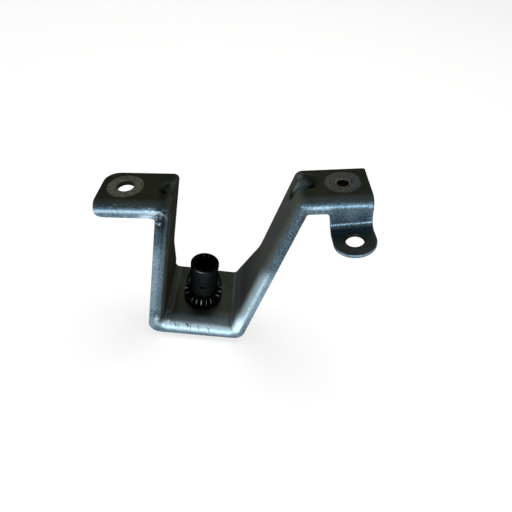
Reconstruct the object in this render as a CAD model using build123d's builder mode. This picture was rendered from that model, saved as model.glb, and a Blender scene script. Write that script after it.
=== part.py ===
from build123d import *
from math import cos, radians, sin, tan
import os

# Fender bracket: a pressed steel bracket with a moulded height adjuster in its base.
# Millimetres. +X runs from the left pad to the right pad, +Y to the back, +Z up. The origin is on the
# adjuster's axis, at the base's top face.

# The sheet and its bends. Radii are of the outside of the bend, unless a name says inside.
sheet = 1.5
fold_radius = 4.0
left_bend_radius = 4.3
right_bend_radius = 5.0
base_bend_inside = 2.5
free_edge_radius = 6.0
free_edge_notch = 1.2
flange_end_radius = 2.7

# The bent path, along the sheet's top face. Leans are from upright, rises from level, in degrees.
base_left = 17.6
base_right = 16.7
left_height = 76.1
left_lean = 3.8
left_pad_length = 31.1
left_pad_rise = 7.0
left_end_skew = 0.8
right_height = 85.1
right_lean = 12.2
right_pad_length = 28.4
right_pad_rise = 11.1
right_end_skew = 1.1

# The flange's depth where each of its five straight runs starts and ends, from left to right.
left_pad_flange = (6.4, 6.7)
left_wall_flange = (6.0, 6.9)
base_flange = (6.7, 5.8)
right_wall_flange = (6.9, 5.7)
right_pad_flange = (6.4, 6.4)

# Widths across the path, from the flange's front face to the back edge.
adjuster_setback = 22.5
base_depth = 41.2
left_depth = 21.9
right_depth = 21.0
left_flare_top = 36.5
left_flare_foot = 5.0
right_flare_top = 41.0
right_flare_foot = 1.0
flare_radius = 20.0
base_corner_radius = 4.0
left_corner_radius = 6.0
right_corner_radius = 0.8

# The strap and tab, turned down and forward from the right pad's flange, and lower towards the wall.
strap_width = 16.4
strap_from_end = 0.55
strap_tilt = 3.85
tab_drop = 12.1
tab_reach = 8.3
tab_skew = 0.45
tab_bend_inside = 1.9
strap_notch_radius = 1.5

# Gusset darts, pressed across the bends between pad and wall.
dart_radius = 4.0
left_dart_on_pad = 6.4
left_dart_on_wall = 7.5
left_dart_from_front = 11.0
right_dart_on_pad = 6.4
right_dart_on_wall = 8.5
right_dart_from_front = 11.3

# Bolt holes and the weld nut.
bolt_hole = 7.0
left_hole_from_end = 10.5
left_hole_from_front = 12.3
right_hole_from_end = 10.8
right_hole_from_front = 11.8
pilot_diameter = 6.4
pilot_clearance = 0.05
nut_thread_diameter = 5.0
nut_chamfer = 0.5
nut_width = 10.0
nut_height = 5.0

# The adjuster: clip nut, knurled ring and sleeve, from the base upward.
running_clearance = 0.05
loose_clearance = 0.15
clip_clearance = 0.1
thread_diameter = 9.0
clip_flange_diameter = 17.0
clip_flange_height = 0.9
clip_collar_diameter = 11.2
clip_collar_height = 3.0
clip_lip = 0.35
clip_lip_height = 0.7
clip_barrel_diameter = 11.0
clip_barb = 1.1
clip_foot_diameter = 10.4
clip_depth = 9.0
clip_slot_width = 1.6
clip_slot_depth = 5.5
lug_width = 7.4
lug_reach = 10.9
lug_overlap = 1.0
lug_corner_radius = 1.2
ring_diameter = 19.8
ring_height = 3.6
ring_floor = 0.9
ring_hub_diameter = 15.2
ring_lip = 1.1
tooth_count = 22
tooth_gap = 1.25
wing_height = 12.6
wing_foot_diameter = 18.6
wing_top_diameter = 14.2
wing_from_side = 14.0
wing_sweep = 46.0
key_width = 2.0
key_reach = 0.7
sleeve_diameter = 12.2
sleeve_foot = 4.4
rim_diameter = 14.2
rim_height = 3.0
rim_top = 24.0
rim_chamfer = 0.3
sleeve_thread_foot = -8.0
screw_bore = 6.5
socket_diameter = 9.6
socket_depth = 8.0
socket_mouth_diameter = 11.8
socket_mouth_depth = 2.0
spline_count = 12
spline_diameter = 1.2
spline_sides = 6
window_width = 2.0
window_height = 1.0
window_depth = 0.8
window_middle = 11.5

# How far tools and trims reach past what they shape, and how near two edges are when they touch.
overrun = 2.0
dart_overrun = 8.0
touching = 0.001

front = -adjuster_setback


# Points of the bent path


def heading(angle):
    """Unit direction in the XZ plane, as a sketch vector, at an angle from +X towards +Z."""
    return Vector(cos(radians(angle)), sin(radians(angle)))


headings = [left_pad_rise, -90 - left_lean, 0, 90 - right_lean, right_pad_rise]
left_foot = Vector(-base_left, 0)
right_foot = Vector(base_right, 0)
left_top = left_foot + Vector(left_height * tan(radians(left_lean)), left_height)
right_top = right_foot + Vector(right_height * tan(radians(right_lean)), right_height)
left_end = left_top - left_pad_length * heading(left_pad_rise)
right_end = right_top + right_pad_length * heading(right_pad_rise)
top_path = [left_end, left_top, left_foot, right_foot, right_top, right_end]
# Bend radii on the top face, where a minus sign marks a bend with its hollow side up.
bend_radii = [left_bend_radius, -base_bend_inside, -base_bend_inside, right_bend_radius]
flange_runs = [left_pad_flange, left_wall_flange, base_flange, right_wall_flange, right_pad_flange]


def path_at(depths, stretch=0.0):
    """The path's corners with each run moved to the sheet's outer side by its depths, the ends stretched."""
    sides = [heading(angle - 90) for angle in headings]
    points = [top_path[0] + depths[0][0] * sides[0] - stretch * heading(headings[0])]
    for number, corner in enumerate(top_path[1:-1]):
        before, after = sides[number], sides[number + 1]
        ending, starting = depths[number][1], depths[number + 1][0]
        turn = before.dot(after)
        shift = (ending - starting * turn) * before + (starting - ending * turn) * after
        points.append(corner + shift / (1 - turn * turn))
    points.append(top_path[-1] + depths[-1][1] * sides[-1] + stretch * heading(headings[-1]))
    return [(point.X, point.Y) for point in points]


def formed_block(inset, past_edge, stretch, free_radii):
    """A solid with the bracket's bent top face and folded front edge, set in from the sheet's face."""
    top_points = path_at([(inset, inset)] * len(flange_runs), stretch)
    edge_points = path_at([(start + past_edge, end + past_edge) for start, end in flange_runs], stretch)
    top_radii = [abs(radius - inset) for radius in bend_radii]
    with BuildPart() as block:
        with BuildSketch(Plane.XZ.offset(-front - inset)):
            with BuildLine():
                FilletPolyline(
                    *top_points,
                    *reversed(edge_points),
                    radius=[0] + top_radii + [0] + free_radii,
                    close=True,
                )
            make_face()
        extrude(amount=inset - base_depth - overrun)
        with BuildLine(Plane.XZ.offset(-front - inset), mode=Mode.PRIVATE) as top_line:
            FilletPolyline(*top_points, radius=top_radii)
        top_wire = top_line.wire()
        front_face = block.faces().sort_by(Axis.Y)[0]
        fold = [edge for edge in front_face.edges() if top_wire.distance_to(edge @ 0.5) < touching]
        fillet(fold, radius=fold_radius - inset)
    return block.part


# Planes on the pads and across the darts


def at_front(point):
    """A point of the path, placed in the plane of the flange's front face."""
    return Vector(point.X, front, point.Y)


def upright(angle):
    """A direction of the path, as a vector in space."""
    return Vector(heading(angle).X, 0, heading(angle).Y)


left_pad = Plane(at_front(left_end), x_dir=upright(left_pad_rise), z_dir=upright(left_pad_rise + 90))
right_pad = Plane(
    at_front(right_end), x_dir=upright(right_pad_rise + 180), z_dir=upright(right_pad_rise + 90)
)
strap_start = Plane(
    right_pad.from_local_coords(Vector(strap_from_end, 0, 0)), x_dir=right_pad.x_dir, z_dir=right_pad.z_dir
)
strap_top = strap_start.rotated((0, -strap_tilt, 0))
strap_side = Plane(strap_top.origin, x_dir=strap_top.y_dir, z_dir=strap_top.x_dir)
tab_top = strap_top.offset(-tab_drop)


def dart_plane(corner, pad_angle, wall_angle, on_pad, on_wall, from_front):
    """The plane across a dart's chord, with its origin on the axis of the round tool that forms it."""
    pad_point = corner + on_pad * heading(pad_angle)
    wall_point = corner + on_wall * heading(wall_angle)
    chord = wall_point - pad_point
    outward = (corner - (pad_point + wall_point) / 2).normalized()
    square = Vector(-chord.Y, chord.X).normalized()
    if square.dot(outward) < 0:
        square = square * -1
    middle = (pad_point + wall_point) / 2 + dart_radius * square
    origin = Vector(middle.X, front + from_front, middle.Y)
    return Plane(origin, z_dir=Vector(chord.X, 0, chord.Y)), chord.length + 2 * dart_overrun


left_dart, left_dart_length = dart_plane(
    left_top, left_pad_rise + 180, -90 - left_lean, left_dart_on_pad, left_dart_on_wall, left_dart_from_front
)
right_dart, right_dart_length = dart_plane(
    right_top, right_pad_rise, -90 - right_lean, right_dart_on_pad, right_dart_on_wall, right_dart_from_front
)
darts = [(left_dart, left_dart_length), (right_dart, right_dart_length)]

# The bracket
# One stamped sheet. The inside of the form is taken out of the outer form, which leaves an even wall,
# and the darts are round grooves with the same wall behind them.

with BuildPart() as inside:
    add(formed_block(sheet, overrun, overrun, [0] * 6))
    for plane, length in darts:
        with Locations(plane):
            Cylinder(dart_radius + sheet, length, mode=Mode.SUBTRACT)

with BuildPart() as bracket:
    free_radii = [0, free_edge_notch, free_edge_radius, free_edge_radius, free_edge_notch, flange_end_radius]
    add(formed_block(0, 0, 0, free_radii))
    add(inside.part, mode=Mode.SUBTRACT)
    for plane, length in darts:
        with Locations(plane):
            Cylinder(dart_radius, length, mode=Mode.SUBTRACT)

    # The pads' ends, a little out of square.
    for plane, depth, skew in ((left_pad, left_depth, left_end_skew), (right_pad, -right_depth, right_end_skew)):
        with BuildSketch(plane.offset(-2 * sheet)):
            with BuildLine():
                Polyline((0, 0), (skew, depth), (-overrun, depth), (-overrun, 0), close=True)
            make_face()
        extrude(amount=2 * sheet + overrun, mode=Mode.SUBTRACT)

    # The back edge: narrow beside the pads, flared out to the base's full depth at the foot.
    high = right_height + right_pad_length
    low = -max(base_flange) - overrun
    back = front + base_depth
    for side, depth, flare_top, flare_foot in (
        (-1, left_depth, left_flare_top, left_flare_foot),
        (1, right_depth, right_flare_top, right_flare_foot),
    ):
        with BuildSketch(Plane.YZ):
            with BuildLine():
                FilletPolyline(
                    (front + depth, high),
                    (front + depth, flare_top),
                    (back, flare_foot),
                    (back, low),
                    (back + 2 * overrun, low),
                    (back + 2 * overrun, high),
                    radius=[0, flare_radius, base_corner_radius, 0, 0, 0],
                    close=True,
                )
            make_face()
        extrude(amount=side * high, mode=Mode.SUBTRACT)

    # The strap and the round-ended tab.
    tab_root = tab_bend_inside + sheet
    with BuildSketch(strap_side):
        with BuildLine():
            FilletPolyline(
                (0, -fold_radius),
                (0, -tab_drop),
                (tab_root, -tab_drop),
                (tab_root, -tab_drop - sheet),
                (-sheet, -tab_drop - sheet),
                (-sheet, -fold_radius),
                radius=[0, tab_bend_inside, 0, 0, tab_bend_inside + sheet, 0],
                close=True,
            )
        make_face()
    extrude(amount=strap_width)
    tab_middle = (strap_width / 2 - tab_skew, tab_reach)
    with BuildSketch(tab_top):
        with Locations(tab_middle):
            Circle(strap_width / 2)
        with BuildLine():
            Line((0, tab_root), (strap_width, tab_root))
        make_hull()
    extrude(amount=-sheet)

    # Holes for the bolts, the nut's pilot and the adjuster.
    with BuildSketch(left_pad):
        with Locations((left_hole_from_end, left_hole_from_front)):
            Circle(bolt_hole / 2)
    extrude(amount=-2 * sheet, mode=Mode.SUBTRACT)
    with BuildSketch(right_pad):
        with Locations((right_hole_from_end, -right_hole_from_front)):
            Circle(pilot_diameter / 2 + pilot_clearance)
    extrude(amount=-2 * sheet, mode=Mode.SUBTRACT)
    with BuildSketch(tab_top):
        with Locations(tab_middle):
            Circle(bolt_hole / 2)
    extrude(amount=-2 * sheet, mode=Mode.SUBTRACT)
    with BuildSketch(Plane.XY):
        Circle(clip_barrel_diameter / 2 + clip_clearance)
    extrude(amount=-2 * sheet, mode=Mode.SUBTRACT)

    # Rounded corners of the two pads and of the notch beside the strap.
    for plane, spot, radius in (
        (left_pad, (left_end_skew, left_depth, -sheet / 2), left_corner_radius),
        (right_pad, (right_end_skew, -right_depth, -sheet / 2), right_corner_radius),
        (right_pad, (strap_from_end + strap_width, -sheet / 2, -right_pad_flange[1]), strap_notch_radius),
    ):
        corner = plane.from_local_coords(Vector(*spot))
        fillet(bracket.edges().sort_by_distance(corner)[0], radius=radius)

bracket.part.label = "bracket"

# The weld nut
# A hexagonal nut on the underside of the right pad. Its pilot fills the pad's hole, flush with the top.

nut_seat = Plane(
    right_pad.from_local_coords(Vector(right_hole_from_end, -right_hole_from_front, -sheet)),
    x_dir=right_pad.x_dir,
    z_dir=right_pad.z_dir,
)
with BuildPart() as weld_nut:
    with BuildSketch(nut_seat):
        RegularPolygon(nut_width / 2, 6, major_radius=False)
    extrude(amount=-nut_height)
    with BuildSketch(nut_seat):
        Circle(pilot_diameter / 2)
    extrude(amount=sheet)
    with BuildSketch(nut_seat.offset(sheet)):
        Circle(nut_thread_diameter / 2)
    extrude(amount=-sheet - nut_height, mode=Mode.SUBTRACT)
    rims = weld_nut.edges().filter_by(GeomType.CIRCLE)
    thread_rims = [edge for edge in rims if edge.radius < (nut_thread_diameter + pilot_diameter) / 4]
    chamfer(thread_rims, length=nut_chamfer)

weld_nut.part.label = "weld_nut"

# The clip nut
# A moulded nut pushed through the base's hole from above. Its flange lies on the sheet, four barbed
# fingers hold below it, and a lipped collar keeps the knurled ring.

collar_radius = clip_collar_diameter / 2
barrel_radius = clip_barrel_diameter / 2
thread_radius = thread_diameter / 2
nut_bore = thread_radius + running_clearance
with BuildPart() as clip_nut:
    with BuildSketch(Plane.XZ):
        with BuildLine():
            Polyline(
                (nut_bore, clip_collar_height),
                (collar_radius + clip_lip / 2, clip_collar_height),
                (collar_radius + clip_lip, clip_collar_height - clip_lip_height / 2),
                (collar_radius, clip_collar_height - clip_lip_height),
                (collar_radius, clip_flange_height),
                (clip_flange_diameter / 2, clip_flange_height),
                (clip_flange_diameter / 2, 0),
                (barrel_radius, 0),
                (barrel_radius, -sheet - clip_clearance),
                (barrel_radius + clip_barb, -sheet - clip_clearance),
                (clip_foot_diameter / 2, -clip_depth),
                (nut_bore, -clip_depth),
                close=True,
            )
        make_face()
    revolve(axis=Axis.Z)
    with BuildSketch(Plane.XY.offset(-clip_depth)):
        Rectangle(clip_slot_width, 2 * clip_flange_diameter)
        Rectangle(2 * clip_flange_diameter, clip_slot_width)
    extrude(amount=clip_slot_depth, mode=Mode.SUBTRACT)
    lug_root = clip_flange_diameter / 2 - lug_overlap
    with BuildSketch():
        with Locations((0, -(lug_root + lug_reach) / 2)):
            RectangleRounded(lug_width, lug_reach - lug_root, lug_corner_radius)
    extrude(amount=clip_flange_height)

clip_nut.part.label = "clip_nut"

# The knurled ring
# A moulded thumb ring that turns on the clip nut's flange. Two wings rise beside the sleeve, and a key
# on each carries the sleeve round.

ring_foot = clip_flange_height + loose_clearance
ring_top = ring_foot + ring_height
sleeve_bore = sleeve_diameter / 2 + loose_clearance
lip_bore = collar_radius + loose_clearance
hub_radius = ring_hub_diameter / 2
wing_middles = (wing_from_side + wing_sweep / 2, 180 - wing_from_side - wing_sweep / 2)
with BuildPart() as knurled_ring:
    with BuildSketch(Plane.XZ):
        with BuildLine():
            Polyline(
                (lip_bore, ring_foot),
                (ring_diameter / 2, ring_foot),
                (ring_diameter / 2, ring_top),
                (sleeve_bore, ring_top),
                (sleeve_bore, ring_foot + ring_lip),
                (lip_bore, ring_foot + ring_lip),
                close=True,
            )
        make_face()
    revolve(axis=Axis.Z)
    tooth_depth = ring_diameter / 2 - hub_radius
    with BuildSketch(Plane.XY.offset(ring_top)):
        with PolarLocations(hub_radius + tooth_depth, tooth_count):
            Rectangle(2 * tooth_depth, tooth_gap)
    extrude(amount=ring_floor - ring_height, mode=Mode.SUBTRACT)

    for middle in wing_middles:
        with BuildSketch(Plane.XZ.rotated((0, 0, middle - wing_sweep / 2))):
            with BuildLine():
                Polyline(
                    (sleeve_bore, ring_top - ring_lip),
                    (hub_radius, ring_top - ring_lip),
                    (wing_foot_diameter / 2, ring_top),
                    (wing_top_diameter / 2, ring_top + wing_height),
                    (sleeve_bore, ring_top + wing_height),
                    close=True,
                )
            make_face()
        revolve(axis=Axis.Z, revolution_arc=wing_sweep)
    with BuildSketch(Plane.XY.offset(ring_top)):
        for middle in wing_middles:
            with Locations(Rotation(0, 0, middle) * Pos(sleeve_bore, 0)):
                Rectangle(2 * key_reach, key_width)
    extrude(amount=wing_height)

knurled_ring.part.label = "knurled_ring"

# The adjuster sleeve
# A moulded sleeve, threaded below, with a rim and a splined socket on top, and a bore for the screw.

socket_floor = rim_top - socket_depth
with BuildPart() as adjuster_sleeve:
    with BuildSketch(Plane.XZ):
        with BuildLine():
            Polyline(
                (screw_bore / 2, sleeve_thread_foot),
                (thread_radius, sleeve_thread_foot),
                (thread_radius, sleeve_foot),
                (sleeve_diameter / 2, sleeve_foot),
                (sleeve_diameter / 2, rim_top - rim_height),
                (rim_diameter / 2 - rim_chamfer, rim_top - rim_height),
                (rim_diameter / 2, rim_top - rim_height + rim_chamfer),
                (rim_diameter / 2, rim_top - rim_chamfer),
                (rim_diameter / 2 - rim_chamfer, rim_top),
                (socket_mouth_diameter / 2, rim_top),
                (socket_diameter / 2, rim_top - socket_mouth_depth),
                (socket_diameter / 2, socket_floor),
                (screw_bore / 2, socket_floor),
                close=True,
            )
        make_face()
    revolve(axis=Axis.Z)
    with BuildSketch(Plane.XY.offset(rim_top)):
        with PolarLocations(socket_diameter / 2, spline_count):
            RegularPolygon(spline_diameter / 2, spline_sides)
    extrude(amount=-socket_depth, mode=Mode.SUBTRACT)
    with BuildSketch(Plane.XY.offset(sleeve_foot)):
        for middle in wing_middles:
            with Locations(Rotation(0, 0, middle) * Pos(sleeve_bore, 0)):
                Rectangle(2 * (key_reach + loose_clearance), key_width + 2 * loose_clearance)
    extrude(amount=rim_top - rim_height - sleeve_foot, mode=Mode.SUBTRACT)
    with BuildSketch(Plane.XZ.offset(sleeve_diameter / 2)):
        with Locations((0, window_middle)):
            Rectangle(window_width, window_height)
    extrude(amount=-window_depth, mode=Mode.SUBTRACT)

adjuster_sleeve.part.label = "adjuster_sleeve"

os.makedirs("parts", exist_ok=True)
for piece in (bracket, weld_nut, clip_nut, knurled_ring, adjuster_sleeve):
    export_step(piece.part, f"parts/{piece.part.label}.step")
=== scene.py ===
import bpy
import numpy as np
from mathutils import Matrix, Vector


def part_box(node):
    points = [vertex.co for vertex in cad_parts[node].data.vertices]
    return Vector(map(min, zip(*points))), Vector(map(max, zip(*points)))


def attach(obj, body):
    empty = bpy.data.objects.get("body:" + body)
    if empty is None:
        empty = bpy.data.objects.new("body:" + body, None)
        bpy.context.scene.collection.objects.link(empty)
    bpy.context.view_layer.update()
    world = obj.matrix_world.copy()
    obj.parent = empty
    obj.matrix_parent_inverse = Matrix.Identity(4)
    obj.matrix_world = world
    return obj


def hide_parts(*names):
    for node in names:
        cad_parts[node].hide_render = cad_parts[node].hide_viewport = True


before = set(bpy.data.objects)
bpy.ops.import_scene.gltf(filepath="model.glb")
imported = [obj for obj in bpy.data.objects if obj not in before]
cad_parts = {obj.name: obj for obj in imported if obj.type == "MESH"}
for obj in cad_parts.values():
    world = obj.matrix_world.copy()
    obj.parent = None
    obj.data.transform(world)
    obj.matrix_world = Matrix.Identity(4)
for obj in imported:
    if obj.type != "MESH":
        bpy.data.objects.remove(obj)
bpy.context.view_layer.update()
scene = bpy.context.scene
scene.view_settings.view_transform = "Standard"

# The camera
# It stands in front of the bracket and looks down on it, turned a little to the right and rolled, as the
# photograph's view does.

camera_place = (0.011574, -0.157524, 0.186546)
camera_pitch, camera_yaw, camera_roll = np.radians([44.2333, 4.7551, -9.7213])
frame_width, focal_length = 512, 450.0

camera = bpy.data.objects.new("camera", bpy.data.cameras.new("camera"))
scene.collection.objects.link(camera)
camera.matrix_world = (
    Matrix.Translation(camera_place) @ Matrix.Rotation(-camera_yaw, 4, "Z")
    @ Matrix.Rotation(np.pi / 2 - camera_pitch, 4, "X") @ Matrix.Rotation(-camera_roll, 4, "Z")
)
camera.data.sensor_width = 36.0
camera.data.lens = camera.data.sensor_width * focal_length / frame_width
camera.data.clip_start = 0.01
scene.camera = camera

# The floor and the light
# A white floor that keeps the bracket's soft shadow, a long window low in front of it, a soft lamp above,
# and a room that is pale near the floor and dim overhead.


def add_node(tree, kind, **settings):
    """A shader node in a tree, with its settings and its sockets' values set by name."""
    node = tree.nodes.new(kind)
    for name, value in settings.items():
        socket = node.inputs.get(name.replace("_", " "))
        if hasattr(node, name):
            setattr(node, name, value)
        elif socket is not None:
            socket.default_value = value
    return node


def join(tree, *pairs):
    """Links each pair of sockets, an output and an input."""
    for output, socket in pairs:
        tree.links.new(output, socket)


def new_material(name):
    """An empty node material, and its tree with an output node."""
    material = bpy.data.materials.new(name)
    material.use_nodes = True
    material.node_tree.nodes.clear()
    return material, material.node_tree, add_node(material.node_tree, "ShaderNodeOutputMaterial")


floor_level, floor_reach, white_share = min(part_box(name)[0].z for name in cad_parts), 3.0, 0.75
floor_mesh = bpy.data.meshes.new("floor")
floor_corners = floor_reach * np.array([[-1, -1], [1, -1], [1, 1], [-1, 1]])
floor_mesh.from_pydata([(x, y, floor_level) for x, y in floor_corners], [], [(0, 1, 2, 3)])
floor = bpy.data.objects.new("floor", floor_mesh)
scene.collection.objects.link(floor)

floor_paint, tree, out = new_material("floor_paint")
matt = add_node(tree, "ShaderNodeBsdfDiffuse", Color=(0.9, 0.9, 0.9, 1))
white = add_node(tree, "ShaderNodeEmission", Color=(1, 1, 1, 1), Strength=1.0)
both = add_node(tree, "ShaderNodeMixShader")
rays = add_node(tree, "ShaderNodeLightPath")
seen = add_node(tree, "ShaderNodeMath", operation="ADD")
seen_all = add_node(tree, "ShaderNodeMath", operation="ADD", use_clamp=True)
part = add_node(tree, "ShaderNodeMath", operation="MULTIPLY")
part.inputs[1].default_value = white_share
join(
    tree,
    (rays.outputs["Is Camera Ray"], seen.inputs[0]), (rays.outputs["Is Glossy Ray"], seen.inputs[1]),
    (seen.outputs[0], seen_all.inputs[0]), (rays.outputs["Is Transmission Ray"], seen_all.inputs[1]),
    (seen_all.outputs[0], part.inputs[0]), (part.outputs[0], both.inputs[0]),
    (matt.outputs[0], both.inputs[1]), (white.outputs[0], both.inputs[2]),
    (both.outputs[0], out.inputs["Surface"]),
)
floor_mesh.materials.append(floor_paint)

world = bpy.data.worlds.new("room")
scene.world = world
world.use_nodes = True
tree = world.node_tree
background = tree.nodes["Background"]
way = add_node(tree, "ShaderNodeTexCoord")
apart = add_node(tree, "ShaderNodeSeparateXYZ")
tones = add_node(tree, "ShaderNodeValToRGB")
ramp = tones.color_ramp
room_tones = [
    (0.12, (0.5, 0.53, 0.55, 1)), (0.34, (0.22, 0.23, 0.2, 1)), (0.6, (0.16, 0.16, 0.13, 1)),
    (1.0, (0.3, 0.31, 0.3, 1)),
]
ramp.elements[0].position, ramp.elements[0].color = room_tones[0]
ramp.elements[1].position, ramp.elements[1].color = room_tones[-1]
for place, tone in room_tones[1:-1]:
    ramp.elements.new(place).color = tone
join(
    tree,
    (way.outputs["Generated"], apart.inputs[0]), (apart.outputs["Z"], tones.inputs["Fac"]),
    (tones.outputs["Color"], background.inputs["Color"]),
)
background.inputs["Strength"].default_value = 1.0


def lamp(name, place, target, size, brightness, color):
    """A soft rectangular lamp, not seen itself. Its power is pi * area * brightness, where 1 is white."""
    data = bpy.data.lights.new(name, "AREA")
    data.shape, data.size, data.size_y = "RECTANGLE", size[0], size[1]
    data.energy, data.color = np.pi * size[0] * size[1] * brightness, color
    back = np.array(place, float) - np.array(target, float)
    back /= np.linalg.norm(back)
    side = np.cross([0, 0, 1] if abs(back[2]) < 0.99 else [0, 1, 0], back)
    side /= np.linalg.norm(side)
    turn = np.eye(4)
    turn[:3, 0], turn[:3, 1], turn[:3, 2], turn[:3, 3] = side, np.cross(back, side), back, place
    item = bpy.data.objects.new(name, data)
    scene.collection.objects.link(item)
    item.matrix_world = Matrix(turn.tolist())
    item.visible_camera = False
    return item


lamp("window", (0.0, -1.1, 0.065), (0, 0, 0.05), (1.4, 0.13), 20, (0.82, 0.95, 1.0))
above = lamp("above", (0.1, 0.1, 1.0), (0, 0, 0), (0.5, 0.5), 14, (1.0, 1.0, 0.97))
above.visible_glossy = False

# The bracket
# One blank of zinc-coated steel, pressed into a U with two raised pads. Its whole front edge is folded down,
# a gusset dart is pressed across each pad's bend, and a strap carries a third bolt hole. The skin is a grid
# along the bent path and over the fold, with rings at the holes. Lengths are in millimetres.

sheet, fold_radius, front, base_back = 1.5, 4.0, -22.5, 18.7
headings = np.radians([7.0, -93.8, 0.0, 77.8, 11.1])
ways = np.stack([np.cos(headings), np.sin(headings)], axis=1)
left_foot, right_foot = np.array([-17.6, 0.0]), np.array([16.7, 0.0])
left_height, left_lean, left_pad_length, left_pad_depth = 76.1, np.radians(3.8), 31.1, 21.9
right_height, right_lean, right_pad_length, right_pad_depth = 85.1, np.radians(12.2), 28.4, 21.0
left_top = left_foot + left_height * np.array([np.tan(left_lean), 1.0])
right_top = right_foot + right_height * np.array([np.tan(right_lean), 1.0])
left_end, right_end = left_top - left_pad_length * ways[0], right_top + right_pad_length * ways[4]
path_corners = np.array([left_end, left_top, left_foot, right_foot, right_top, right_end])
flange_depths = np.array([[6.4, 6.7], [6.0, 6.9], [6.7, 5.8], [6.9, 5.7], [6.4, 6.4]])


def lowered_corners(corners, depths):
    """The path's corners with each run moved square to itself, by one depth at its start, another at its end.

    At a corner between unit normals p and q, with p.q = c, moves of a and b meet at
    ((a - bc) p + (b - ac) q) / (1 - cc).
    """
    normals = np.stack([ways[:, 1], -ways[:, 0]], axis=1)
    before, after = normals[:-1], normals[1:]
    cosine = (before * after).sum(axis=1, keepdims=True)
    a, b = depths[:-1, 1:], depths[1:, :1]
    moved = ((a - b * cosine) * before + (b - a * cosine) * after) / (1 - cosine**2)
    ends = depths[0, 0] * normals[:1], depths[-1, 1] * normals[-1:]
    return corners + np.concatenate([ends[0], moved, ends[1]])


bend_steps, run_points = 18, [50, 116, 50, 128]
strap_at_notch, notch_radius = 16.46, 1.5


def run_stops(run, length):
    """Even stops along a run. On the right pad they are even up to the strap's notch, and from there they
    lie at fixed distances from the pad's free end.
    """
    if run < len(run_points):
        return np.linspace(0, length, run_points[run])
    notch = length - strap_at_notch - notch_radius
    past_notch = length - np.linspace(strap_at_notch, 0, 29)
    return np.concatenate([np.linspace(0, notch, 14), notch + np.array([0.4, 0.8, 1.15, 1.35]), past_notch])


def rounded_path(corners, radii):
    """Straight runs joined by tangent arcs, as a list of runs and bends in turn, and every point's heading.

    A bend that turns by an angle starts radius * tan(angle / 2) before its corner. Its points are the arc's
    centre plus the radius times a unit normal, turned evenly from the first run's to the second's.
    """
    runs = np.diff(corners, axis=0)
    angles = np.arctan2(runs[:, 1], runs[:, 0])
    turns = (np.diff(angles) + np.pi) % (2 * np.pi) - np.pi
    cuts = np.concatenate([[0.0], radii * np.tan(np.abs(turns) / 2), [0.0]])
    lines, headings = [], []
    for k, angle in enumerate(angles):
        way = np.array([np.cos(angle), np.sin(angle)])
        start, end = corners[k] + cuts[k] * way, corners[k + 1] - cuts[k + 1] * way
        lines.append(start + run_stops(k, np.linalg.norm(end - start))[:, None] * way)
        headings.append(np.full(len(lines[-1]), angle))
        if k < len(radii):
            side = np.sign(turns[k])
            centre = end + side * radii[k] * np.array([-way[1], way[0]])
            headings.append(angle + turns[k] * np.arange(1, bend_steps) / bend_steps)
            normals = np.stack([np.sin(headings[-1]), -np.cos(headings[-1])], axis=1)
            lines.append(centre + side * radii[k] * normals)
    return lines, np.concatenate(headings)


# The bends' radii are given at the fold, at the back edge and along the flange's free edge.
edge_corners = lowered_corners(path_corners, flange_depths)
top_lines, angle = rounded_path(path_corners, np.array([4.3, 2.5, 2.5, 5.0]))
back_lines = rounded_path(path_corners, np.array([2.0, 2.5, 2.5, 3.4]))[0]
edge_lines = rounded_path(edge_corners, np.array([1.2, 6.0, 6.0, 1.2]))[0]
top_path, back_path, edge_path = (np.concatenate(lines) for lines in (top_lines, back_lines, edge_lines))
outward = np.stack([-np.sin(angle), np.cos(angle)], axis=1)
columns = len(top_path)
run_of = np.concatenate([np.full(len(line), k / 2) for k, line in enumerate(top_lines)])
from_left = np.where(run_of == 0, (top_path - left_end) @ ways[0], np.inf)
from_right = np.where(run_of == 4, (right_end - top_path) @ ways[4], np.inf)

# The free edge drops round the notch's corner to where the strap goes on.
over_strap = from_right <= strap_at_notch + 1e-6
past_strap = np.clip(notch_radius + strap_at_notch - from_right, 0, notch_radius)
notch_drop = notch_radius - np.sqrt(notch_radius**2 - past_strap**2)
edge_path = edge_path - notch_drop[:, None] * outward


def back_edge(height, depth, flare_top, flare_foot):
    """The back edge's place at a height: the pad's depth above, the base's below, and a slope between them.

    Each corner of that line is rounded by its moving average over a short height.
    """
    levels = np.linspace(-10, 100, 1101)
    line = np.interp(levels, [flare_foot, flare_top], [base_back, front + depth])
    for window in (41, 61):
        line = np.convolve(np.pad(line, window // 2, mode="edge"), np.ones(window) / window, mode="valid")
    return np.interp(height, levels, line)


back = np.where(
    np.arange(columns) < columns // 2, back_edge(top_path[:, 1], left_pad_depth, 36.5, 5.0),
    back_edge(top_path[:, 1], right_pad_depth, 41.0, 1.0),
)

# The rows: the flat part from the back edge to the fold, the fold, and the flange down to its free edge.
flat_rows, fold_rows, flange_rows = 46, 14, 6
quarter_turn = np.radians(90)
bend = quarter_turn * np.arange(1, fold_rows + 1) / fold_rows
over = np.concatenate([np.zeros(flat_rows), bend, np.full(flange_rows, quarter_turn)])[:, None]
flat_y = back + np.linspace(0, 1, flat_rows)[:, None] * (front + fold_radius - back)
grid_y = front + fold_radius * (1 - np.sin(over)) + 0 * back
grid_y[:flat_rows] = flat_y
grid_xz = top_path[None] - fold_radius * (1 - np.cos(over))[..., None] * outward[None]
# The bends at the pads are tighter at the back edge than at the fold.
tightened = np.clip((flat_y - front - fold_radius - 5) / 8, 0, 1)
grid_xz[:flat_rows] += tightened[..., None] * (back_path - top_path)[None]
down = (np.arange(1, flange_rows + 1) / flange_rows)[:, None]
flange_drop = edge_path - top_path + fold_radius * outward
grid_xz[-flange_rows:] += down[..., None] * flange_drop[None]

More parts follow.
